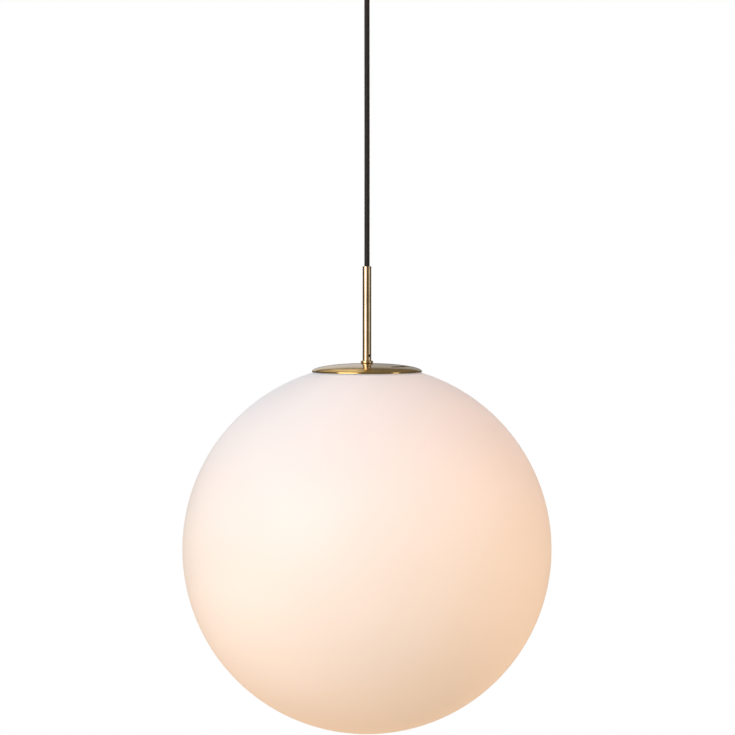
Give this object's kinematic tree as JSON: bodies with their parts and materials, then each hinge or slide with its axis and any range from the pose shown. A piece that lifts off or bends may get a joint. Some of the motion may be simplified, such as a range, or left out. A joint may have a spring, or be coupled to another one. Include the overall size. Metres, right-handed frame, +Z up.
{
  "type": "pendant ceiling light",
  "caption": "Pendant ceiling light with an opal glass globe under a shallow brass cap, on a thin stem and a black textile cord from a ceiling canopy.",
  "frame": {"origin": "centre of the ceiling bracket's top face, in the ceiling plane", "axes": "+Z up, -Y towards the viewer, +X to the viewer's right; the lamp hangs down -Z"},
  "size_m": [0.3999, 0.3998, 0.8547],
  "materials": {
    "steel": "zinc plated",
    "contact_brass": "bright",
    "brass": "brushed, lacquered",
    "polished_brass": "satin",
    "rubber": "matt",
    "textile": "braided",
    "brown_wire": "smooth",
    "blue_wire": "smooth",
    "earth_wire": "smooth",
    "white_plastic": "moulded",
    "black_plastic": "moulded",
    "clear_rubber": "translucent",
    "spring_steel": "bright",
    "porcelain": "glazed",
    "black_glass": "gloss",
    "bulb_glass": "opal",
    "opal_glass": "satin opal"
  },
  "bodies": {
    "bracket": {"ceiling_bracket": "steel", "earth_screw": "contact_brass", "earth_washer": "steel"},
    "left_screw": {"canopy_screw_left": "brass"},
    "right_screw": {"canopy_screw_right": "brass"},
    "canopy": {"canopy": "brass", "cord_grip_body": "polished_brass", "cord_grip_screw": "steel", "cord_grip_nut": "steel", "cord_tail": "textile", "upper_core_live": "brown_wire", "upper_core_neutral": "blue_wire", "upper_core_earth": "earth_wire", "terminal_block": "white_plastic", "terminal_tubes": "contact_brass", "terminal_screws": "steel"},
    "cord_exit": {"flex_bush": "rubber"},
    "pendant": {"cord": "textile", "nipple": "steel", "collar": "polished_brass", "distance_sleeve": "steel", "gallery_nut": "steel", "cap": "brass", "gasket": "clear_rubber", "spring_carrier": "steel", "spring_arm_1": "spring_steel", "spring_arm_2": "spring_steel", "spring_arm_3": "spring_steel", "arm_rivets": "steel", "lampholder_cap": "brass", "lampholder_nut": "steel", "lampholder_body": "brass", "lampholder_ring": "black_plastic", "lampholder_insert": "porcelain", "screw_shell": "contact_brass", "centre_contact": "contact_brass", "lampholder_terminals": "contact_brass", "lampholder_screws": "steel", "lower_core_live": "brown_wire", "lower_core_neutral": "blue_wire", "lower_core_earth": "earth_wire"},
    "stem": {"stem_tube": "polished_brass", "stem_bush": "black_plastic", "stem_set_screw": "steel"},
    "globe": {"opal_globe": "opal_glass"},
    "bulb": {"bulb_contact": "contact_brass", "bulb_insulator": "black_glass", "bulb_screw_cap": "steel", "bulb_collar": "white_plastic", "bulb_envelope": "bulb_glass"}
  },
  "joints": [
    {"name": "canopy_drop", "type": "slide", "parent": "bracket", "child": "canopy", "axis": [0, 0, 1], "range_m": [-0.06, 0]},
    {"name": "left_screw_out", "type": "slide", "parent": "bracket", "child": "left_screw", "axis": [-1, 0, 0], "range_m": [0, 0.006]},
    {"name": "right_screw_out", "type": "slide", "parent": "bracket", "child": "right_screw", "axis": [1, 0, 0], "range_m": [0, 0.006]},
    {"name": "swing_front", "type": "hinge", "parent": "canopy", "child": "cord_exit", "pos_m": [0, 0, -0.0439], "axis": [1, 0, 0], "range_deg": [-15, 15]},
    {"name": "swing_side", "type": "hinge", "parent": "cord_exit", "child": "pendant", "pos_m": [0, 0, -0.0439], "axis": [0, 1, 0], "range_deg": [-15, 15]},
    {"name": "stem_lift", "type": "slide", "parent": "pendant", "child": "stem", "axis": [0, 0, 1], "range_m": [0, 0.1]},
    {"name": "globe_lower", "type": "slide", "parent": "pendant", "child": "globe", "axis": [0, 0, 1], "range_m": [-0.24, 0], "deforming": ["spring_arm_1", "spring_arm_2", "spring_arm_3"]},
    {"name": "bulb_turn", "type": "hinge", "parent": "pendant", "child": "bulb", "pos_m": [0, 0, -0.55], "axis": [0, 0, 1], "range_deg": [-720, 0]}
  ]
}
